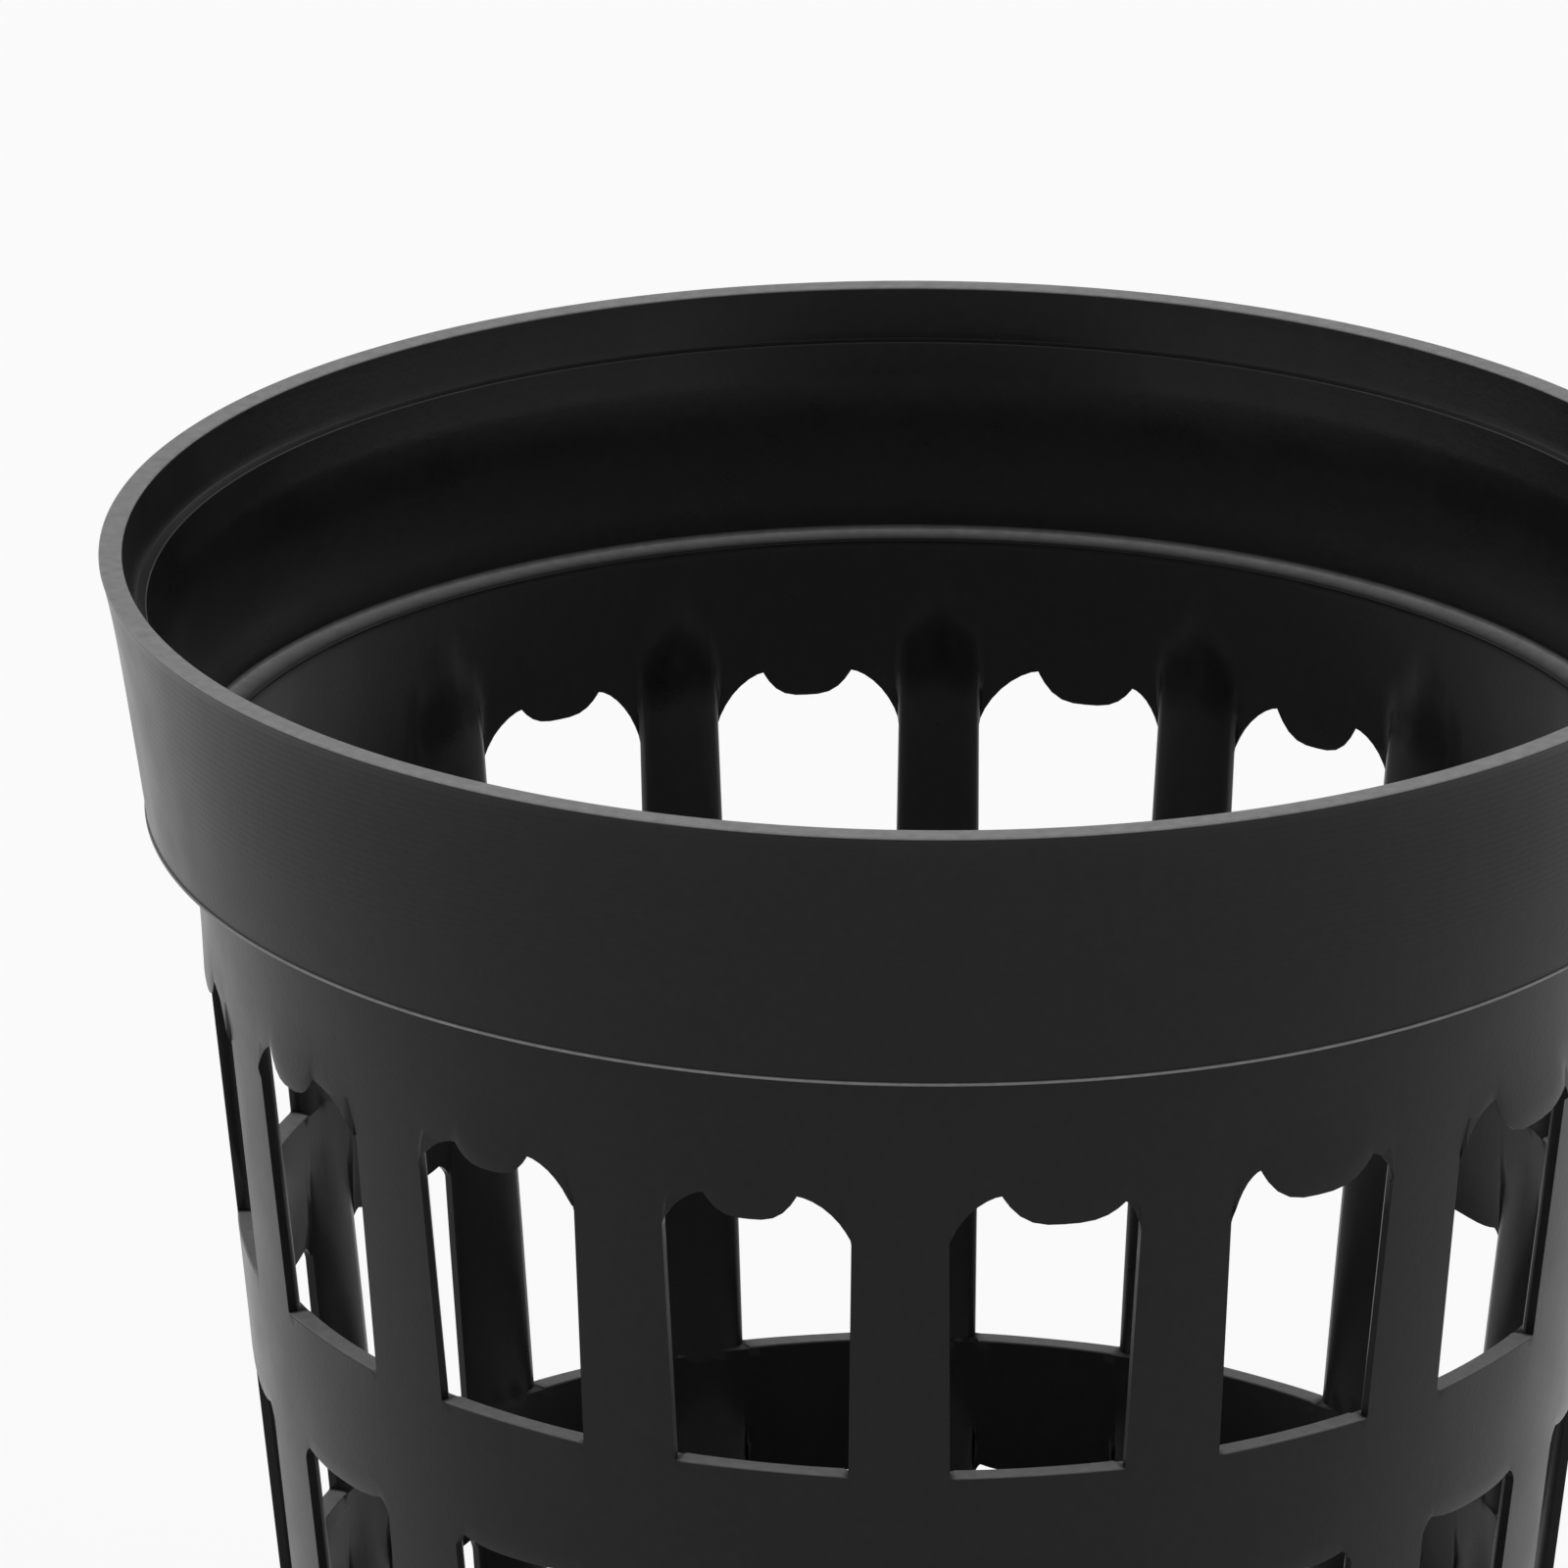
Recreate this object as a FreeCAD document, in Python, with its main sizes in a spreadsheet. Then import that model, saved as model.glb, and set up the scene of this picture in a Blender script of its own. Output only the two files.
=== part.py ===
import FreeCAD, Part
import os
import Sketcher

# Hydroponic net pot for a 2 inch growing hole: a tapered cup moulded in one piece of
# plastic, with a deep collar round its mouth, three rows of windows between upright
# ribs, and a slotted floor. Millimetres, +Z up, origin at the middle of the underside.

SIZES = [
    ("height", 58.0, "underside to top of rim"),
    ("body_diameter", 50.1, "outside of the body under the collar, for a 50.8 mm hole"),
    ("base_diameter", 40.3, "outside of the body at its underside"),
    ("collar_height", 9.2, "rim top to the underside of the collar"),
    ("seat_width", 1.45, "how far the collar's foot stands out from the body"),
    ("foot_chamfer", 0.2, "broken edge at the foot of the collar"),
    ("collar_flare", 0.8, "how far the knee stands out from the foot"),
    ("knee_depth", 2.9, "rim top to the bend in the collar's taper"),
    ("rim_flare", 0.7, "how far the rim stands out from the knee"),
    ("rim_face", 0.8, "width of the flat top of the rim"),
    ("ledge_depth", 1.9, "rim top to the inner edge of the ledge inside the rim"),
    ("rim_draft", 0.45, "how far the rim's inner face leans in"),
    ("ledge_fall", 0.15, "fall of the ledge towards the middle"),
    ("ledge_width", 0.35, "width of that ledge"),
    ("collar_wall", 0.95, "thickness of the collar at its foot"),
    ("shelf_thickness", 0.5, "underside of the collar to the shelf inside it"),
    ("shelf_chamfer", 0.5, "slope between collar and shelf"),
    ("throat_wall", 0.49, "thickness of the wall under the collar"),
    ("throat_height", 6.05, "underside of the collar to the lip over the top windows"),
    ("band_height", 5.12, "sill of one row to the lip of the next"),
    ("base_ring_height", 5.36, "underside to the sill of the bottom row"),
    ("sill_wall", 0.74, "thickness of a band at its sill"),
    ("lip_wall", 0.24, "thickness of a band at its lip"),
    ("rib_count", 16, "ribs, and windows in a row"),
    ("rib_width", 3.3, "width of a rib"),
    ("rib_depth", 0.72, "outer face to the crown of a rib"),
    ("rib_crown", 0.32, "height of the crown over the rib's edges"),
    ("rib_start", 0.9, "underside of the collar to the tip of a rib"),
    ("rib_run_out", 2.0, "height over which a rib's tip fades out"),
    ("head_rise", 1.32, "lip to the two peaks of a top-row window"),
    ("head_peak_spacing", 3.7, "between those two peaks"),
    ("lobe_drop", 1.05, "peaks to the foot of the lobe between them"),
    ("base_wall", 0.85, "thickness of the base ring at the floor"),
    ("floor_thickness", 1.0, "floor"),
    ("slot_count", 8, "slots in the floor"),
    ("slot_width", 2.8, "width of a floor slot"),
    ("slot_inner_radius", 6.0, "middle to the inner end of a slot"),
    ("slot_margin", 3.95, "outer end of a slot to the outside of the base"),
    ("drain_diameter", 5.0, "hole in the middle of the floor"),
    ("trim", 1.0, "rough stock left outside until the outside is turned"),
]

doc = FreeCAD.newDocument("NetPot")
sheet = doc.addObject("Spreadsheet::Sheet", "Sizes")
for row, (name, size, note) in enumerate(SIZES, 1):
    sheet.set(f"A{row}", note)
    sheet.set(f"B{row}", str(size))
    sheet.setAlias(f"B{row}", name)
doc.recompute()

body = doc.addObject("PartDesign::Body", "NetPot")
body.Label = "net_pot"
body.AllowCompound = True


def number(expression):
    """The number that an expression on the sheet gives now."""
    result = body.evalExpression(expression)
    return float(getattr(result, "Value", result))


def new_sketch(name, role):
    """An empty sketch on one of the body's own origin planes."""
    sketch = body.newObject("Sketcher::SketchObject", name)
    plane = next(item for item in body.Origin.OriginFeatures if item.Role == role)
    sketch.AttachmentSupport = [(plane, "")]
    sketch.MapMode = "FlatFace"
    return sketch


def hold(sketch, kind, *where_and_expression):
    """One driven dimension of a sketch, tied to an expression on the sheet."""
    *where, expression = where_and_expression
    index = sketch.addConstraint(Sketcher.Constraint(kind, *where, number(expression)))
    sketch.setExpression(f"Constraints[{index}]", expression)


def hold_point(sketch, edge, end, across, up):
    """Ties one end of an edge to its distances from the sketch's origin."""
    for kind, axis, expression in (("DistanceX", -2, across), ("DistanceY", -1, up)):
        if expression == "0":
            sketch.addConstraint(Sketcher.Constraint("PointOnObject", edge, end, axis))
        else:
            hold(sketch, kind, -1, 1, edge, end, expression)


def outline(sketch, points, arcs=()):
    """A closed outline through points given as pairs of expressions.

    Each edge is straight, apart from those whose first point is numbered in arcs. An arc
    is held by its own middle point, which arcs gives as a pair of expressions.
    """
    arcs = dict(arcs)
    places = [FreeCAD.Vector(number(x), number(y), 0) for x, y in points]
    edges = []
    for index, place in enumerate(places):
        following = places[(index + 1) % len(places)]
        if index in arcs:
            middle = FreeCAD.Vector(number(arcs[index][0]), number(arcs[index][1]), 0)
            edges.append(sketch.addGeometry(Part.Arc(place, middle, following), False))
        else:
            edges.append(sketch.addGeometry(Part.LineSegment(place, following), False))
    for index, edge in enumerate(edges):
        start, end = tie_ends(sketch, edge, places[index])
        after = edges[(index + 1) % len(edges)]
        after_start, after_end = tie_ends(sketch, after, places[(index + 1) % len(edges)])
        sketch.addConstraint(Sketcher.Constraint("Coincident", edge, end, after, after_start))
        hold_point(sketch, edge, start, *points[index])
    for index in arcs:
        middle = sketch.addGeometry(Part.Point(FreeCAD.Vector(
            number(arcs[index][0]), number(arcs[index][1]), 0)), True)
        sketch.addConstraint(Sketcher.Constraint("PointOnObject", middle, 1, edges[index]))
        hold_point(sketch, middle, 1, *arcs[index])


def tie_ends(sketch, edge, first):
    """Which end of an edge lies at its first point, and which at the other."""
    forward = sketch.getPoint(edge, 1).distanceToPoint(first) < 1e-6
    return (1, 2) if forward else (2, 1)


def feature(kind, name, sketch, **settings):
    """A feature of the body made from a sketch, with its plain settings."""
    made = body.newObject("PartDesign::" + kind, name)
    made.Profile = sketch
    for key, setting in settings.items():
        setattr(made, key, setting)
    sketch.Visibility = False
    doc.recompute()
    return made


def turned(kind, name, sketch):
    """A full turn of a sketch about the pot's axis."""
    return feature(kind, name, sketch, ReferenceAxis=(sketch, ["V_Axis"]), Angle=360)


def around(name, original, count):
    """Copies of a feature, evenly spaced about the pot's axis."""
    axis = next(item for item in body.Origin.OriginFeatures if item.Role == "Z_Axis")
    pattern = body.newObject("PartDesign::PolarPattern", name)
    pattern.Originals = [original]
    pattern.Axis = (axis, [""])
    pattern.Angle = 360
    pattern.setExpression("Occurrences", count)
    body.Tip = pattern
    doc.recompute()
    return pattern


# Radii of the collar, worked outwards from the body, and heights above the underside. The
# three rows of windows share what the collar, throat, bands and base ring leave over.
BODY = "(Sizes.body_diameter / 2)"
FOOT = f"({BODY} + Sizes.seat_width)"
KNEE = f"({FOOT} + Sizes.collar_flare)"
RIM = f"({KNEE} + Sizes.rim_flare)"
STOCK = f"({RIM} + Sizes.trim)"
UNDER_COLLAR = "(Sizes.height - Sizes.collar_height)"
SHELF = f"({UNDER_COLLAR} + Sizes.shelf_thickness)"
TOP_LIP = f"({UNDER_COLLAR} - Sizes.throat_height)"
WINDOW = f"(({TOP_LIP} - 2 * Sizes.band_height - Sizes.base_ring_height) / 3)"
LIPS = [f"({TOP_LIP} - {row} * ({WINDOW} + Sizes.band_height))" for row in range(3)]
SILLS = [f"({lip} - {WINDOW})" for lip in LIPS]


def outside(height):
    """Radius of the body's taper at a height."""
    taper = f"(Sizes.body_diameter - Sizes.base_diameter) / {UNDER_COLLAR}"
    return f"((Sizes.base_diameter + {taper} * {height}) / 2)"


# The ribs. Each is a bar with a crowned inner face, padded square to a plane that leans
# with the wall. They start in the stock under the floor and end inside the collar's foot.
section = new_sketch("RibSection", "XY_Plane")
lean = f"atan(({outside(UNDER_COLLAR)} - {outside('0')}) / {UNDER_COLLAR})"
leaning = FreeCAD.Rotation(FreeCAD.Vector(0, 1, 0), number(lean))
section.AttachmentOffset = FreeCAD.Placement(FreeCAD.Vector(), leaning)
section.setExpression("AttachmentOffset.Rotation.Angle", lean)
face = f"({outside('0')} * cos({lean}))"
crown = f"({face} - Sizes.rib_depth)"
edge = f"({crown} + Sizes.rib_crown)"
rib_stock = f"({face} + Sizes.trim)"
half_rib = "(Sizes.rib_width / 2)"
outline(
    section,
    [
        (edge, half_rib),
        (edge, f"-{half_rib}"),
        (rib_stock, f"-{half_rib}"),
        (rib_stock, half_rib),
    ],
    arcs={0: (crown, "0")},
)
rib = feature("Pad", "Rib", section)
rib_top = f"({UNDER_COLLAR} + Sizes.shelf_thickness / 2)"
rib.setExpression("Length", f"({rib_top} + {face} * sin({lean})) / cos({lean})")
ribs = around("Ribs", rib, "Sizes.rib_count")

# The tip of every rib fades into the wall below the shelf.
tips = new_sketch("RibTipOutline", "XZ_Plane")
throat = f"({BODY} - Sizes.throat_wall)"
fade_end = f"({UNDER_COLLAR} - Sizes.rib_start)"
fade_start = f"({fade_end} - Sizes.rib_run_out)"
fade_radius = f"({outside(fade_start)} - Sizes.rib_depth)"
far_up = f"({fade_end} + Sizes.rib_run_out)"
outline(
    tips,
    [
        (fade_radius, fade_start),
        (f"2 * {throat} - {fade_radius}", far_up),
        (f"{fade_radius} / 2", far_up),
        (f"{fade_radius} / 2", fade_start),
    ],
)
turned("Groove", "RibTips", tips)

# The wall: collar and top band, two more bands, and the base ring with its floor. Each
# band thins from its sill down to the lip over the next row of windows.
wall = new_sketch("WallSection", "XZ_Plane")
rim_inside = f"({RIM} - Sizes.rim_face)"
ledge = f"({rim_inside} - Sizes.rim_draft)"
bore = f"({FOOT} - Sizes.collar_wall)"
outline(
    wall,
    [
        (rim_inside, "Sizes.height"),
        (ledge, "Sizes.height - Sizes.ledge_depth + Sizes.ledge_fall"),
        (f"{ledge} - Sizes.ledge_width", "Sizes.height - Sizes.ledge_depth"),
        (bore, f"{SHELF} + Sizes.shelf_chamfer"),
        (f"{bore} - Sizes.shelf_chamfer", SHELF),
        (throat, SHELF),
        (f"{outside(LIPS[0])} - Sizes.lip_wall", LIPS[0]),
        (STOCK, LIPS[0]),
        (STOCK, "Sizes.height"),
    ],
)
for sill, lip in zip(SILLS, LIPS[1:]):
    outline(
        wall,
        [
            (f"{outside(sill)} - Sizes.sill_wall", sill),
            (f"{outside(lip)} - Sizes.lip_wall", lip),
            (STOCK, lip),
            (STOCK, sill),
        ],
    )
outline(
    wall,
    [
        (f"{outside('0')} - Sizes.base_wall", SILLS[2]),
        (f"{outside('0')} - Sizes.base_wall", "Sizes.floor_thickness"),
        ("0", "Sizes.floor_thickness"),
        ("0", "-Sizes.trim"),
        (STOCK, "-Sizes.trim"),
        (STOCK, SILLS[2]),
    ],
)
turned("Revolution", "Wall", wall)

# The outside and the underside, turned to the taper, the collar and the rim in one cut.
skin = new_sketch("OutsideOutline", "XZ_Plane")
beyond = f"({STOCK} + Sizes.trim)"
outline(
    skin,
    [
        (RIM, "Sizes.height + Sizes.trim"),
        (RIM, "Sizes.height"),
        (KNEE, "Sizes.height - Sizes.knee_depth"),
        (FOOT, f"{UNDER_COLLAR} + Sizes.foot_chamfer"),
        (f"{FOOT} - Sizes.foot_chamfer", UNDER_COLLAR),
        (BODY, UNDER_COLLAR),
        ("Sizes.base_diameter / 2", "0"),
        ("0", "0"),
        ("0", f"-{STOCK}"),
        (beyond, f"-{STOCK}"),
        (beyond, "Sizes.height + Sizes.trim"),
    ],
)
turned("Groove", "Outside", skin)

# Heads of the top row: two peaks with a lobe hanging between them, and shoulders that
# slope down to the ribs. The cut stays between the inner edges of its two ribs.
head = new_sketch("HeadOutline", "XZ_Plane")
half_step = "(180 / Sizes.rib_count)"
inner = f"({outside(LIPS[0])} - Sizes.rib_depth)"
half_gap = f"({inner} * sin({half_step}) - {half_rib} * cos({half_step}))"
half_peaks = "(Sizes.head_peak_spacing / 2)"
peak = f"({LIPS[0]} + Sizes.head_rise)"
below = f"({LIPS[0]} - Sizes.head_rise)"
upright = FreeCAD.Rotation(FreeCAD.Vector(0, 1, 0), number(half_step))
head.AttachmentOffset = FreeCAD.Placement(FreeCAD.Vector(), upright)
head.setExpression("AttachmentOffset.Rotation.Angle", half_step)
outline(
    head,
    [
        (f"-{half_gap}", below),
        (f"-{half_gap}", LIPS[0]),
        (f"-{half_peaks}", peak),
        (half_peaks, peak),
        (half_gap, LIPS[0]),
        (half_gap, below),
    ],
    arcs={2: ("0", f"{peak} - Sizes.lobe_drop")},
)
head_cut = feature("Pocket", "Head", head)
head_cut.setExpression("Length", STOCK)
heads = around("Heads", head_cut, "Sizes.rib_count")

# Floor: radial slots with round ends, and a hole in the middle.
slot = new_sketch("SlotOutline", "XY_Plane")
half_slot = "(Sizes.slot_width / 2)"
slot_from = "(Sizes.slot_inner_radius + Sizes.slot_width / 2)"
slot_end = "(Sizes.base_diameter / 2 - Sizes.slot_margin)"
slot_to = f"({slot_end} - Sizes.slot_width / 2)"
outline(
    slot,
    [
        (slot_from, half_slot),
        (slot_from, f"-{half_slot}"),
        (slot_to, f"-{half_slot}"),
        (slot_to, half_slot),
    ],
    arcs={0: ("Sizes.slot_inner_radius", "0"), 2: (slot_end, "0")},
)
slot_cut = feature("Pocket", "Slot", slot, Midplane=True)
slot_cut.setExpression("Length", "4 * Sizes.floor_thickness")
slots = around("Slots", slot_cut, "Sizes.slot_count")

drain = new_sketch("DrainOutline", "XY_Plane")
circle = drain.addGeometry(Part.Circle(FreeCAD.Vector(), FreeCAD.Vector(0, 0, 1),
                                       number("Sizes.drain_diameter / 2")), False)
drain.addConstraint(Sketcher.Constraint("Coincident", circle, 3, -1, 1))
hold(drain, "Diameter", circle, "Sizes.drain_diameter")
drain_cut = feature("Pocket", "Drain", drain, Midplane=True)
drain_cut.setExpression("Length", "4 * Sizes.floor_thickness")
doc.recompute()

for item in doc.Objects:
    if "Invalid" in item.State or "Error" in item.State:
        raise RuntimeError(f"{item.Label}: {item.State}")
before = None
for item in body.Group:
    if not item.isDerivedFrom("PartDesign::Feature"):
        continue
    volume = item.Shape.Volume
    if before is not None and abs(volume - before) < 1e-3:
        raise RuntimeError(f"{item.Label} changes nothing")
    before = volume
if body.Shape.isNull() or not body.Shape.isValid() or len(body.Shape.Solids) != 1:
    raise RuntimeError("net_pot isn't one valid solid")

os.makedirs("parts", exist_ok=True)
body.Shape.exportStep(os.path.join("parts", body.Label + ".step"))
box = body.Shape.BoundBox
print(f"{body.Label}: {box.XLength:.2f} x {box.YLength:.2f} x {box.ZLength:.2f} mm,",
      f"{body.Shape.Volume:.0f} mm3, {len(body.Shape.Faces)} faces")
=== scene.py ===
import math

import bpy
import numpy as np
from mathutils import Matrix, Vector


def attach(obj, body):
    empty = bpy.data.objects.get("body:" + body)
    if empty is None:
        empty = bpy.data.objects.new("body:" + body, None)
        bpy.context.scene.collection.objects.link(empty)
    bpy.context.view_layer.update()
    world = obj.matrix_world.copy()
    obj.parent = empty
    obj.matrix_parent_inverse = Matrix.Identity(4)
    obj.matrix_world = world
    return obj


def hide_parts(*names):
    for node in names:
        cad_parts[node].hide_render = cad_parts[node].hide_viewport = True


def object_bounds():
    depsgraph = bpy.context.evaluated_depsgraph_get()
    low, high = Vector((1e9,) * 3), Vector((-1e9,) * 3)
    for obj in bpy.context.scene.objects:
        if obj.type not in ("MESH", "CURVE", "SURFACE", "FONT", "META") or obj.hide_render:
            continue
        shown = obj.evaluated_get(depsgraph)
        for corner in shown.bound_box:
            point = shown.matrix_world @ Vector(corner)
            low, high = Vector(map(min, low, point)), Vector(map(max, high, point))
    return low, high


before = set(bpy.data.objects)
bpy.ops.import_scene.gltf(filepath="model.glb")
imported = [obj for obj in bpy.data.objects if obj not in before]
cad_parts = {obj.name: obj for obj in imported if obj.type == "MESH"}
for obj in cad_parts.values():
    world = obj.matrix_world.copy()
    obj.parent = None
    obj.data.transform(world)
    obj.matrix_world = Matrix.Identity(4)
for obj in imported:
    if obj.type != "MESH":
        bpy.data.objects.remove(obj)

packed_low, packed_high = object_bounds()

# The pot: one moulding in black polypropylene, satin from the tool. Core and cavity shut
# off against each other in its three rows of windows, so the head of each one is the ragged
# line where the skin between them ran thin. Sizes are millimetres.
MM = 0.001
RIM_RADIUS = packed_high.x / MM
HEIGHT = packed_high.z / MM
BASE_RADIUS = 20.15
BODY_RADIUS = 25.05
COLLAR_HEIGHT = 9.2
BARS = 16
PITCH = 2 * math.pi / BARS

# windows: heights of the sills and of the lip lines over them, from the top row down
SILLS = (33.70, 19.53, 5.36)
LIPS = (42.75, 28.58, 14.41)
SHOULDER_DROP = 0.40
# bars: they widen down to SPREAD_HEIGHT under the top lips, and stand proud of the throat
# as pillars, from a point to their full section
BAR_HALF_WIDTH, BAR_SPREAD, SPREAD_HEIGHT = 1.60, 0.0085, 17
BAR_THINNING = 0.15
BAR_SIDE, BAR_CROWN, BAR_CORNER = 0.30, 0.20, 0.24
PILLAR_TOP, PILLAR_FULL = HEIGHT - 9.8, HEIGHT - 14.6
BAND_PILLAR_TOP, BAND_PILLAR_FULL = 0.4, 0.2
# walls: bands at their sills, the throat's inside, the skin left at the top heads, and how
# far a sill's edge and a head's edge are rounded off
SILL_WALL = 0.74
THROAT_RADIUS, THROAT_SKIN = 24.56, 0.11
SILL_ROUNDING, HEAD_ROLL = 0.04, 0.06
# floor: its thickness and its edge inside, the corner under it, the slots and the drain
FLOOR_THICKNESS, FLOOR_RADIUS = 1.0, 19.3
BASE_CORNER = 0.25
SLOT_HALF_WIDTH = 1.4
SLOT_FROM, SLOT_TO = 6.0, 16.2
SLOT_WAIST = (12.3, 9.8)
DRAIN_RADIUS, DRAIN_COLLAR = 2.5, 4.2
# how dull the plastic is where the tool shuts off, and how pale it is painted there: a
# painted highlight for the light those upward faces catch
DULL_AND_LIT_RIM, DULL_AND_LIT_BEAD, DULL_AND_LIT_SILL = 1.0, 0.9, 0.6

# the collar outside, from rim to foot: depths under the rim, which of its rows show the
# tool's turning marks, and radius and depth of the bead at the foot
COLLAR_DEPTHS = np.array([0.15, 0.5, 1.1, 1.8, 2.5, 3.2, 4.0, 4.8, 5.6, 6.6, 7.7, 8.95])
COLLAR_FLARE, TOP_FLARE, TOP_FLARE_DEPTH = 0.143, 0.21, 1.5
TURNED_ROWS = slice(3, 12)
FOOT_BEAD = [(26.50, 9.02), (26.55, 9.05), (26.55, 9.12), (26.46, 9.18), (25.20, 9.20),
             (25.06, 9.32)]
# and inside, radius and depth: the rim's edge, the ledge, the wall, the shelf and its edge
COLLAR_INSIDE = np.array([
    (27.25, 0.00), (27.21, 0.03), (27.20, 0.08),
    (27.08, 0.60), (26.84, 1.50), (26.78, 1.70), (26.755, 1.76), (26.70, 1.79),
    (26.43, 1.81), (26.39, 1.84), (26.37, 1.92), (26.12, 2.90), (26.02, 3.20),
    (25.80, 5.00), (25.60, 7.30), (25.52, 8.40), (25.48, 8.58), (25.40, 8.63),
    (24.63, 8.67), (24.585, 8.70), (24.56, 8.80),
])

# the top windows' heads, anticlockwise from the one right of the front bar: across and up
# from the lip line, the left peak, the foot of the hanging lobe, and the right peak
HEADS = np.array([
    (-1.51, 1.42, 0.33, 2.62, 0.94),
    (-2.25, 1.36, 0.07, 2.19, 1.02),
    (-1.65, 1.34, -0.28, 2.90, 0.30),
    (-1.90, 1.20, 0.00, 2.30, 1.10),
    (-1.50, 1.30, 0.25, 1.80, 1.20),
    (-1.70, 1.45, 0.30, 1.90, 1.40),
    (-1.62, 1.53, 0.38, 1.74, 1.54),
    (-2.24, 1.38, 0.58, 1.25, 1.71),
    (-1.64, 1.64, 0.75, 1.57, 1.70),
    (-1.79, 1.73, 0.97, 1.40, 1.66),
    (-1.90, 0.95, 0.40, 1.50, 0.85),
    (-1.60, 1.40, 0.60, 1.60, 1.30),
    (-1.80, 1.30, 0.40, 1.30, 1.20),
    (-2.00, 1.22, 0.25, 0.92, 1.08),
    (-1.45, 1.05, 0.40, 1.52, 1.25),
    (-1.73, 1.13, 0.35, 1.43, 1.28),
])
# the lower windows' heads, which all came out alike, nearly straight
PLAIN_HEAD = np.array([(-2.38, 0.22, -0.05, 2.38, 0.22)] * BARS)


def outside(z):
    """Radius of the bars' outer face: a straight taper from the base to the collar."""
    return BASE_RADIUS + (BODY_RADIUS - BASE_RADIUS) * z / (HEIGHT - COLLAR_HEIGHT)


bar_angle = (np.arange(BARS) * PITCH - math.pi / 2)[:, None]
bar_thin = BAR_THINNING * (1 + np.sin(bar_angle)) / 2


def bar_half(z):
    """Half of each bar's width: it grows evenly downwards and then stays as it is, and
    the bars at the back came out thinner."""
    spreading = BAR_SPREAD * np.clip(LIPS[0] - z, 0, SPREAD_HEIGHT)
    return BAR_HALF_WIDTH - bar_thin + spreading


def bar_depth(b):
    """A bar's thickness at b, from -1 to 1 across it: its sides, and a D on them that is
    a parabola in the middle and turns down at its corners."""
    return BAR_SIDE + BAR_CROWN * (1 - b ** 2) + BAR_CORNER * np.sqrt(1 - b ** 4)


def soft_least(a, b, blend=0.05):
    """The lesser of a and b, with a small fillet where they cross."""
    t = np.clip(0.5 + (b - a) / (2 * blend), 0, 1)
    return b + (a - b) * t - blend * t * (1 - t)


# One period of the grid of the wall: the bar's columns from its left edge to its right
# edge, then the window's left of its left peak, on its lobe and right of its right peak.
BAR_CELLS, SIDE_CELLS, LOBE_CELLS = 10, 8, 12
bar_b = np.sin(np.linspace(-1, 1, BAR_CELLS + 1) * math.pi / 2)
side_turn = np.linspace(0, math.pi / 2, SIDE_CELLS + 1)
lobe_q = np.sin(np.linspace(-1, 1, LOBE_CELLS + 1) * math.pi / 2)
WINDOW_CELLS = 2 * SIDE_CELLS + LOBE_CELLS
PERIOD = BAR_CELLS + WINDOW_CELLS
COLUMNS = BARS * PERIOD

HEAD_ROUNDNESS, LOBE_ROUNDNESS = 1.55, 3.2


def head_line(heads, left, right):
    """Across and up from the lip, for each window and column: a quarter of a superellipse
    from the shoulder to a peak, a lobe that hangs as a power curve between the peaks, and
    the other quarter."""
    xl, hl, hb, xr, hr = heads.T[:, :, None]
    run = np.sin(side_turn) ** (2 / HEAD_ROUNDNESS)
    rise = np.cos(side_turn) ** (2 / HEAD_ROUNDNESS)
    left_x = xl - (left + xl) * run[::-1]
    left_h = -SHOULDER_DROP + (hl + SHOULDER_DROP) * rise[::-1]
    right_x = xr + (right - xr) * run
    right_h = -SHOULDER_DROP + (hr + SHOULDER_DROP) * rise
    lobe_x = (xl + xr) / 2 + (xr - xl) / 2 * lobe_q
    lobe_h = hb + (np.where(lobe_q < 0, hl, hr) - hb) * np.abs(lobe_q) ** LOBE_ROUNDNESS
    x = np.concatenate([left_x, lobe_x[:, 1:-1], right_x], 1)
    h = np.concatenate([left_h, lobe_h[:, 1:-1], right_h], 1)
    return x, h


even = np.linspace(-1, 1, WINDOW_CELLS + 1)
is_bar = np.arange(PERIOD) <= BAR_CELLS
column_b = np.concatenate([bar_b, np.zeros(WINDOW_CELLS - 1)])


def angles(z, window_x, radius):
    """Angle round the pot of each column, by bar: bar columns by their share of the bar's
    half width, window columns by millimetres from the window's middle."""
    on_bar = bar_angle + column_b * bar_half(z) / radius
    x = np.concatenate([np.zeros((BARS, BAR_CELLS + 1)), window_x[:, 1:-1]], 1)
    in_window = bar_angle + PITCH / 2 + x / radius
    return np.where(is_bar, on_bar, in_window)


def window_sides(z):
    """How far a window reaches left and right of the middle of its pitch: to its bars."""
    free = outside(z) * PITCH / 2 - bar_half(z)
    return free, np.roll(free, -1, 0)


def even_x(z):
    """Window columns spread evenly, for each window."""
    left, right = window_sides(z)
    return (right - left) / 2 + even * (right + left) / 2


def full(values):
    """A window row's values with the bars' columns in front, which take the shoulder's."""
    bars = np.repeat(values[:, :1], BAR_CELLS + 1, 1)
    return np.concatenate([bars, values[:, 1:-1]], 1)


# by column: 0 on the bars and their edges to 1 in a window's middle, that share eased,
# 1 between the bars, and the fillet beside each bar
SKIRT_SHARE = 0.5 / 3.2
from_edge = np.concatenate([np.zeros(BAR_CELLS + 1), (1 - np.abs(even))[1:-1]])
swell = from_edge * from_edge * (3 - 2 * from_edge)
in_gap = (~is_bar).astype(float)
skirt = np.clip(1 - from_edge / SKIRT_SHARE, 0, 1) ** 2 * in_gap


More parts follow.
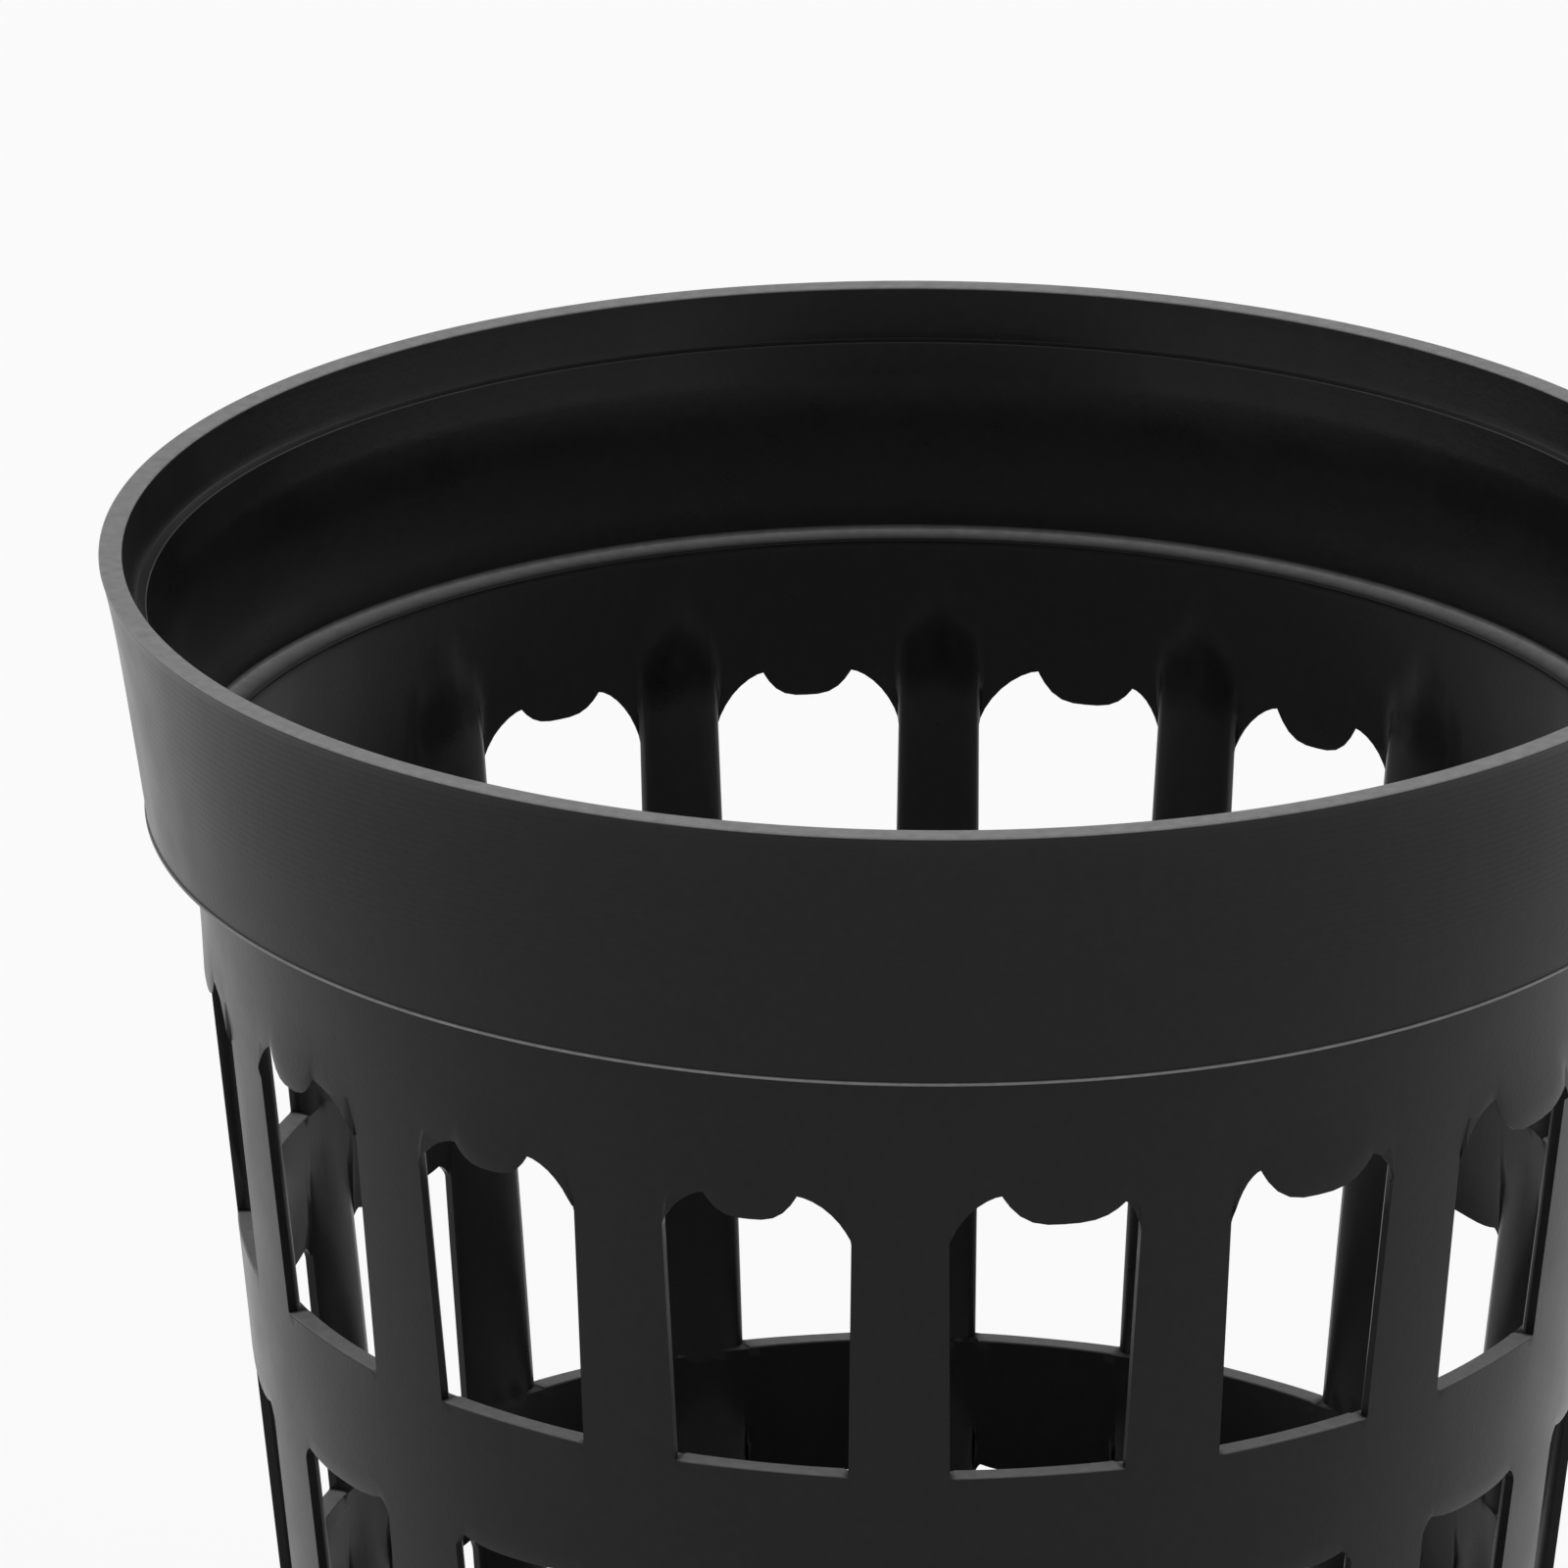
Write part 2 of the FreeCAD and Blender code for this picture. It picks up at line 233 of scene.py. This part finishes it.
def pillar(z, top, full, wall):
    """Inside radius where a bar stands proud of a band: an arch with a soft foot that
    widens from its point at top, and blends into the bar's own D at full."""
    down = np.clip((top - z) / (top - full), 0, 1)
    reach = bar_half(z) * np.maximum(down, 1e-6) ** 0.6
    x = column_b * bar_half(z)
    proud = (wall - outside(z) + BAR_SIDE + BAR_CROWN + BAR_CORNER) * down
    arch = wall - proud * np.clip(1 - (x / reach) ** 2, 0, 1) ** 2
    share = np.clip((down - 0.35) / 0.65, 0, 1)
    share = share * share * (3 - 2 * share)
    own = outside(z) - bar_depth(column_b)
    on_bar = arch + (own - arch) * share
    beside = wall - share * skirt * BAR_SIDE
    return np.where(is_bar, on_bar, beside)


rows = []


def add_row(angle, r_out, z_out, r_in, z_in, dull_and_lit=0.0):
    """One ring of the wall: its angles, then radius and height outside and inside, and
    how dull it is and how pale it is painted there as a painted highlight."""
    shape = np.ones((BARS, PERIOD))
    rows.append([np.broadcast_to(v, (BARS, PERIOD)) * shape
                 for v in (angle, r_out, z_out, r_in, z_in, dull_and_lit)])


# the collar: a flare that eases off under the rim, then the bead at the foot
flare = (RIM_RADIUS - COLLAR_FLARE * COLLAR_DEPTHS
         - TOP_FLARE * (1 - np.exp(-COLLAR_DEPTHS / TOP_FLARE_DEPTH)))
collar_outside = np.vstack([
    [(RIM_RADIUS - 0.05, 0.0), (RIM_RADIUS - 0.01, 0.03), (RIM_RADIUS - 0.01, 0.08)],
    np.stack([flare, COLLAR_DEPTHS], 1), FOOT_BEAD])
under_collar = HEIGHT - COLLAR_HEIGHT
collar_angles = angles(under_collar, even_x(under_collar), BODY_RADIUS)
for number, ((r_out, d_out), (r_in, d_in)) in enumerate(zip(collar_outside, COLLAR_INSIDE)):
    # the rim's top rows and the foot's bead: duller, and painted pale as a highlight of the
    # light they catch
    on_bead = 26.5 < r_out < 26.6 and d_out > 9.03
    add_row(collar_angles, r_out, HEIGHT - d_out, r_in, HEIGHT - d_in,
            DULL_AND_LIT_RIM if number < 2 else DULL_AND_LIT_BEAD * on_bead)

# the throat, down to the ragged heads of the top windows
THROAT_STEPS = (0.04, 0.09, 0.13, 0.17, 0.215, 0.27, 0.34, 0.43, 0.54, 0.66, 0.78, 0.88,
                0.95, 1.0)
head_x, head_h = head_line(HEADS, *window_sides(LIPS[0]))
z_out_from, z_in_from = HEIGHT - collar_outside[-1, 1], HEIGHT - COLLAR_INSIDE[-1, 1]
for w in THROAT_STEPS:
    end = full(LIPS[0] + head_h)
    z_out = z_out_from + (end - z_out_from) * w
    z_in = z_in_from + (end - z_in_from) * w
    share = w ** 2
    x = even_x(LIPS[0] + 3) * (1 - share) + head_x * share
    angle = angles(z_out, x, outside(z_out))
    skin = -soft_least(-outside(z_out), -(THROAT_RADIUS + THROAT_SKIN), 0.15)
    roll = HEAD_ROLL * max(0.0, (w - 0.9) / 0.1) ** 2
    r_out = outside(z_out) + swell * (skin - roll - outside(z_out))
    r_in = pillar(z_in, PILLAR_TOP, PILLAR_FULL, THROAT_RADIUS)
    add_row(angle, r_out, z_out, r_in, z_in)

# windows, bands and the base ring, from the top down; a band's outside sinks by
# BAND_HOLLOW at its sill and fills out again by BAND_FILL towards the heads under it, and
# window_rows keeps the rows of the grid at the head and the sill of each row of windows
BAND_HOLLOW, BAND_FILL, BAND_LEAN = 0.04, 0.07, 0.02
BASE_EDGE = 0.25
WINDOW_STEPS = (0.12, 0.3, 0.5, 0.7, 0.9)
BAND_STEPS = (0.0, 0.012, 0.08, 0.2, 0.36, 0.54, 0.72, 0.87, 0.96, 1.0)
window_rows = []
for level, sill in enumerate(SILLS):
    top = LIPS[level] - SHOULDER_DROP
    window_rows.append(len(rows) - 1)
    for w in WINDOW_STEPS:
        z = top + (sill - top) * w
        angle = angles(z, even_x(z), outside(z))
        add_row(angle, outside(z), z, outside(z) - bar_depth(column_b), z)
    window_rows.append(len(rows))
    wall = outside(sill) - SILL_WALL
    if level < 2:
        lip = LIPS[level + 1]
        head_x, head_h = head_line(PLAIN_HEAD, *window_sides(lip))
        end = full(lip + head_h)
    else:
        end = BASE_EDGE * np.ones((BARS, PERIOD))
        head_x = even_x(0)
    for w in BAND_STEPS:
        z = sill + (end - sill) * w
        z_in = z if level < 2 else sill + (FLOOR_THICKNESS - sill) * w
        share = w ** 2
        x = even_x(sill) * (1 - share) + head_x * share
        angle = angles(z, x, outside(z))
        own = outside(z_in) - bar_depth(column_b)
        if level < 2:
            roll = HEAD_ROLL * max(0.0, (w - 0.9) / 0.1) ** 2
            flat = swell * (-BAND_HOLLOW + BAND_FILL * w - roll)
            wall_in = wall - BAND_LEAN * w
            r_in = pillar(z, sill - BAND_PILLAR_TOP, lip + BAND_PILLAR_FULL, wall_in)
        else:
            flat = 0.0
            wall_in = wall + (FLOOR_RADIUS - wall) * w
            r_in = np.where(is_bar, soft_least(own, wall_in), wall_in)
        # the sills' upward faces: rounded off, duller, and painted pale as a highlight of
        # the light they catch
        at_sill = in_gap * (w == 0)
        if w == 0:
            r_in = np.where(is_bar, own, wall_in)
        add_row(angle, outside(z) + flat - SILL_ROUNDING * at_sill, z,
                r_in + SILL_ROUNDING * at_sill, z_in, DULL_AND_LIT_SILL * at_sill)

# The floor: rings inwards, which go round the slots' ends and along their sides. Each
# column has its nearest bar, its own angle from that, and how far it lies between slots.
RING_EDGE = 0.19
slot_bar = (np.arange(BARS) % 2 == 0)[:, None]
wall_angle = rows[-1][0]
own = (wall_angle + math.pi / 2 + PITCH) % (2 * PITCH) - PITCH
nearest = wall_angle - own
edge = bar_half(0)[:, :1] / outside(0)
on_slot = slot_bar & is_bar
slot_b = np.where(on_slot, column_b, np.sign(own))
share_out = np.where(on_slot, 0, (np.abs(own) - edge) / (PITCH - edge))


def floor_row(along, bulge):
    """A ring of the floor: the slot's own columns lie across it at that distance from the
    middle, bulging by the end's half circle; the rest go round at the edge's radius."""
    u = along + bulge * np.sqrt(np.clip(1 - slot_b ** 2, 0, 1))
    at_edge = math.atan2(SLOT_HALF_WIDTH, along)
    ring = math.hypot(along, SLOT_HALF_WIDTH)
    a_slot = np.arctan2(slot_b * SLOT_HALF_WIDTH, u)
    a_rest = np.sign(own) * (at_edge + (PITCH - at_edge) * share_out)
    a = np.where(on_slot, a_slot, a_rest)
    r = np.where(on_slot, np.hypot(u, slot_b * SLOT_HALF_WIDTH), ring)
    add_row(nearest + a, r, 0.0, r, FLOOR_THICKNESS)


def round_row(radius, squeeze):
    """A plain ring of the floor: columns blend from the wall's spread to the slots'."""
    at_edge = edge + (RING_EDGE - edge) * squeeze
    a = np.where(on_slot, slot_b * at_edge,
                 np.sign(own) * (at_edge + (PITCH - at_edge) * share_out))
    add_row(nearest + a, radius, 0.0, radius, FLOOR_THICKNESS)


add_row(wall_angle, BASE_RADIUS - BASE_CORNER, 0.0, FLOOR_RADIUS - 0.1, FLOOR_THICKNESS)
round_row(17.6, 0.0)
slot_from_row = len(rows)
floor_row(SLOT_TO - SLOT_HALF_WIDTH, SLOT_HALF_WIDTH)
for along in SLOT_WAIST:
    floor_row(along, 0.0)
floor_row(SLOT_FROM + SLOT_HALF_WIDTH, -SLOT_HALF_WIDTH)
slot_to_row = len(rows) - 1
round_row(DRAIN_COLLAR, 1.0)
round_row(DRAIN_RADIUS, 1.0)

table = np.array(rows).transpose(1, 0, 2, 3).reshape(6, len(rows), COLUMNS)
angle, r_out, z_out, r_in, z_in, dull_and_lit = table
ROWS = len(rows)
outer = np.stack([r_out * np.cos(angle), r_out * np.sin(angle), z_out], -1)
inner = np.stack([r_in * np.cos(angle), r_in * np.sin(angle), z_in], -1)
points = np.concatenate([outer.reshape(-1, 3), inner.reshape(-1, 3)]) * MM

# which cells of the grid hold plastic: all but those in the windows and the slots
solid = np.ones((ROWS - 1, COLUMNS), bool)
in_window = np.tile(np.arange(PERIOD) >= BAR_CELLS, BARS)
for top, bottom in zip(window_rows[0::2], window_rows[1::2]):
    solid[top:bottom, in_window] = False
in_slot = np.tile(np.arange(2 * PERIOD) < BAR_CELLS, BARS // 2)
solid[slot_from_row:slot_to_row, in_slot] = False

index = np.arange(ROWS * COLUMNS).reshape(ROWS, COLUMNS)
right = np.roll(index, -1, 1)
inside = ROWS * COLUMNS


def quads(a, b, c, d, keep):
    """Faces from four corner arrays, where keep is true."""
    return np.stack([a[keep], b[keep], c[keep], d[keep]], -1)


# the outer and the inner skin, and then the faces that close the wall where a cell that
# holds plastic has an open one above, below, to its right or to its left
skins = [
    quads(index[:-1], index[1:], right[1:], right[:-1], solid),
    quads(right[:-1] + inside, right[1:] + inside, index[1:] + inside,
          index[:-1] + inside, solid),
]
above = np.vstack([np.zeros((1, COLUMNS), bool), solid])
below = np.vstack([solid, np.zeros((1, COLUMNS), bool)])
before = np.roll(solid, 1, 1)
skins += [
    quads(index, right, right + inside, index + inside, below & ~above),
    quads(index + inside, right + inside, right, index, above & ~below),
    quads(index[:-1], index[1:], index[1:] + inside, index[:-1] + inside,
          before & ~solid),
    quads(index[:-1] + inside, index[1:] + inside, index[1:], index[:-1],
          solid & ~before),
]
faces = np.concatenate(skins)
used, faces = np.unique(faces, return_inverse=True)
faces = faces.reshape(-1, 4)

SHARP_ANGLE = math.radians(32)


def closed_mesh(name, points, faces):
    """A mesh from an array of points and one of four-cornered faces, smooth but for its
    sharp edges."""
    mesh = bpy.data.meshes.new(name)
    mesh.vertices.add(len(points))
    mesh.vertices.foreach_set("co", points.astype(np.float32).ravel())
    mesh.loops.add(faces.size)
    mesh.loops.foreach_set("vertex_index", faces.astype(np.int32).ravel())
    mesh.polygons.add(len(faces))
    mesh.polygons.foreach_set("loop_start", np.arange(0, faces.size, 4, dtype=np.int32))
    mesh.update(calc_edges=True)
    mesh.polygons.foreach_set("use_smooth", np.ones(len(faces), bool))
    mesh.set_sharp_from_angle(angle=SHARP_ANGLE)
    return mesh


pot_mesh = closed_mesh("net_pot_moulding", points[used], faces)
turned = np.zeros((2, ROWS, COLUMNS))
turned[0, TURNED_ROWS] = 1
for name, amount in (("dull_and_lit", np.tile(dull_and_lit.ravel(), 2)), ("turned", turned.ravel())):
    attribute = pot_mesh.attributes.new(name, "FLOAT", "POINT")
    attribute.data.foreach_set("value", amount[used].astype(np.float32))
pot = bpy.data.objects.new("net_pot_moulding", pot_mesh)
bpy.context.scene.collection.objects.link(pot)

# Its plastic: black polypropylene, satin, with a fine grain, the turning marks of the tool
# on the collar, and duller faces on the rim, the foot's bead and the sills, painted pale
# there as a highlight of the light they catch.
plastic = bpy.data.materials.new("black_polypropylene")
plastic.use_nodes = True
nodes, links = plastic.node_tree.nodes, plastic.node_tree.links
shader = nodes["Principled BSDF"]
shader.inputs["IOR"].default_value = 1.49
shader.inputs["Specular IOR Level"].default_value = 0.20


def node(kind, **settings):
    """A new node of the plastic with these settings; a number or colour sets an input."""
    made = nodes.new(kind)
    for name, value in settings.items():
        socket = made.inputs.get(name.replace("_", " "))
        if socket is not None and not hasattr(made, name):
            socket.default_value = value
        else:
            setattr(made, name, value)
    return made


place = node("ShaderNodeTexCoord").outputs["Object"]
# the faces that are made duller and painted pale as a highlight
dull_and_lit_factor = node("ShaderNodeAttribute", attribute_name="dull_and_lit").outputs["Fac"]


def noise(scale, detail=2.0):
    """Noise over the moulding, with scale in grains per metre."""
    made = node("ShaderNodeTexNoise", Scale=scale, Detail=detail)
    links.new(place, made.inputs["Vector"])
    return made.outputs["Fac"]


def spread(value, low, high, to_low=0.0, to_high=1.0):
    """value carried from one range to another, held at its ends."""
    made = node("ShaderNodeMapRange")
    for number, amount in enumerate((None, low, high, to_low, to_high)):
        if number:
            made.inputs[number].default_value = amount
    links.new(value, made.inputs[0])
    return made.outputs[0]


def join(kind, first, second):
    """A sum, product or the like of two values."""
    made = node("ShaderNodeMath", operation=kind)
    for socket, value in zip(made.inputs, (first, second)):
        if isinstance(value, (int, float)):
            socket.default_value = value
        else:
            links.new(value, socket)
    return made.outputs[0]


mottle = spread(noise(2600, 3.0), 0.35, 0.7)
# where those faces lie, in noisy patches: rougher, and painted pale as a highlight
dull_and_highlight = join("MULTIPLY", dull_and_lit_factor, spread(noise(2400, 3.0), 0.3, 0.7, 0.78, 1.0))
tint = node("ShaderNodeMix", data_type="RGBA")
tint.inputs[6].default_value = (0.0045, 0.0045, 0.0049, 1)
tint.inputs[7].default_value = (0.0065, 0.0065, 0.0070, 1)
links.new(mottle, tint.inputs[0])
# painted highlight: the rim, the bead and the sills mixed towards pale grey for the light
# they catch
painted_highlight = node("ShaderNodeMix", data_type="RGBA")
painted_highlight.inputs[7].default_value = (0.24, 0.24, 0.245, 1)
links.new(dull_and_highlight, painted_highlight.inputs[0])
links.new(tint.outputs[2], painted_highlight.inputs[6])
links.new(painted_highlight.outputs[2], shader.inputs["Base Color"])
satin = spread(noise(350, 3.0), 0.3, 0.7, 0.27, 0.33)
links.new(join("ADD", satin, join("MULTIPLY", dull_and_highlight, 0.2)), shader.inputs["Roughness"])

rings = node("ShaderNodeTexWave", wave_type="BANDS", bands_direction="Z", Scale=1250.0,
             Distortion=0.4, Detail=1.0)
links.new(place, rings.inputs["Vector"])
grain = node("ShaderNodeBump", Strength=0.12, Distance=0.00004)
links.new(noise(5200, 2.0), grain.inputs["Height"])
grooves = node("ShaderNodeBump", Strength=0.05, Distance=0.00004)
lathe = node("ShaderNodeAttribute", attribute_name="turned").outputs["Fac"]
links.new(join("MULTIPLY", rings.outputs["Fac"], lathe), grooves.inputs["Height"])
links.new(grain.outputs["Normal"], grooves.inputs["Normal"])
links.new(grooves.outputs["Normal"], shader.inputs["Normal"])
pot_mesh.materials.append(plastic)
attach(pot, "root")
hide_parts("net_pot")

# The floor: a plain pale sweep that keeps the pot's shadow. The lens and every polished
# face see it nearly white.
FLOOR_SIZE = 6.0
FLOOR_PALENESS, FLOOR_GLOW = 0.86, 0.82
floor_mesh = bpy.data.meshes.new("floor")
half = FLOOR_SIZE / 2
floor_mesh.from_pydata([(-half, -half, 0), (half, -half, 0), (half, half, 0),
                        (-half, half, 0)], [], [(0, 1, 2, 3)])
floor = bpy.data.objects.new("floor", floor_mesh)
bpy.context.scene.collection.objects.link(floor)
paint = bpy.data.materials.new("floor_paint")
paint.use_nodes = True
tree = paint.node_tree
tree.nodes.clear()
ground = tree.nodes.new("ShaderNodeBsdfDiffuse")
ground.inputs["Color"].default_value = (*[FLOOR_PALENESS] * 3, 1)
glow = tree.nodes.new("ShaderNodeEmission")
glow.inputs["Color"].default_value = (1, 1, 1, 1)
seen = tree.nodes.new("ShaderNodeLightPath")
either = tree.nodes.new("ShaderNodeMath")
either.operation = "MAXIMUM"
tree.links.new(seen.outputs["Is Camera Ray"], either.inputs[0])
tree.links.new(seen.outputs["Is Glossy Ray"], either.inputs[1])
every = tree.nodes.new("ShaderNodeMath")
every.operation = "MAXIMUM"
tree.links.new(either.outputs[0], every.inputs[0])
tree.links.new(seen.outputs["Is Transmission Ray"], every.inputs[1])
part = tree.nodes.new("ShaderNodeMath")
part.operation = "MULTIPLY"
part.inputs[1].default_value = FLOOR_GLOW
tree.links.new(every.outputs[0], part.inputs[0])
both = tree.nodes.new("ShaderNodeMixShader")
tree.links.new(part.outputs[0], both.inputs[0])
tree.links.new(ground.outputs[0], both.inputs[1])
tree.links.new(glow.outputs[0], both.inputs[2])
tree.links.new(both.outputs[0], tree.nodes.new("ShaderNodeOutputMaterial").inputs[0])
floor_mesh.materials.append(paint)

# The light: a broad soft box overhead, and the studio itself, white at the sides and low
# down and dark above.
SIDE_DARK, SIDE_WHITE = 0.25, 0.60
LOW_DARK, LOW_WHITE = 0.26, 0.10
CEILING = 0.11
world = bpy.data.worlds.new("studio")
bpy.context.scene.world = world
world.use_nodes = True
tree = world.node_tree
back = tree.nodes["Background"]
where = tree.nodes.new("ShaderNodeTexCoord")
parts = tree.nodes.new("ShaderNodeSeparateXYZ")
tree.links.new(where.outputs["Generated"], parts.inputs[0])
sideways = tree.nodes.new("ShaderNodeMath")
sideways.operation = "ABSOLUTE"
tree.links.new(parts.outputs["X"], sideways.inputs[0])
beside_pot = tree.nodes.new("ShaderNodeMapRange")
beside_pot.interpolation_type = "SMOOTHSTEP"
beside_pot.inputs[1].default_value = SIDE_DARK
beside_pot.inputs[2].default_value = SIDE_WHITE
tree.links.new(sideways.outputs[0], beside_pot.inputs[0])
low_down = tree.nodes.new("ShaderNodeMapRange")
low_down.interpolation_type = "SMOOTHSTEP"
low_down.inputs[1].default_value = LOW_DARK
low_down.inputs[2].default_value = LOW_WHITE
tree.links.new(parts.outputs["Z"], low_down.inputs[0])
bright = tree.nodes.new("ShaderNodeMath")
bright.operation = "MAXIMUM"
tree.links.new(beside_pot.outputs[0], bright.inputs[0])
tree.links.new(low_down.outputs[0], bright.inputs[1])
shade = tree.nodes.new("ShaderNodeMix")
shade.data_type = "RGBA"
shade.inputs[6].default_value = (*[CEILING] * 3, 1)
shade.inputs[7].default_value = (1.0, 1.0, 1.0, 1)
tree.links.new(bright.outputs[0], shade.inputs[0])
tree.links.new(shade.outputs[2], back.inputs["Color"])

lamp = bpy.data.lights.new("soft_box", "AREA")
lamp.shape = "RECTANGLE"
lamp.size, lamp.size_y = 2.4, 1.6
lamp.energy = 9.0
box = bpy.data.objects.new("soft_box", lamp)
bpy.context.scene.collection.objects.link(box)
box.location = (-0.15, 0.35, 1.1)
aim = Vector((0, 0, 0.03)) - box.location
box.rotation_euler = aim.to_track_quat("-Z", "Y").to_euler()

# The camera: a long lens from in front and a little above, turned to the pot's left side.
LENS = 305.3
DISTANCE = 0.4514
AROUND, ABOVE = 1.38, 19.705
TURN, DOWN, TILT = 2.016, 20.746, 0.255
camera_data = bpy.data.cameras.new("camera")
camera_data.lens = LENS
camera = bpy.data.objects.new("camera", camera_data)
bpy.context.scene.collection.objects.link(camera)
side, rise = math.radians(AROUND), math.radians(ABOVE)
stand = Vector((math.sin(side) * math.cos(rise), -math.cos(side) * math.cos(rise),
                math.sin(rise))) * DISTANCE + Vector((0, 0, packed_high.z))
camera.matrix_world = (Matrix.Translation(stand)
                       @ Matrix.Rotation(math.radians(TURN), 4, "Z")
                       @ Matrix.Rotation(math.radians(90 - DOWN), 4, "X")
                       @ Matrix.Rotation(math.radians(TILT), 4, "Z"))
bpy.context.scene.camera = camera
bpy.context.scene.view_settings.view_transform = "Standard"
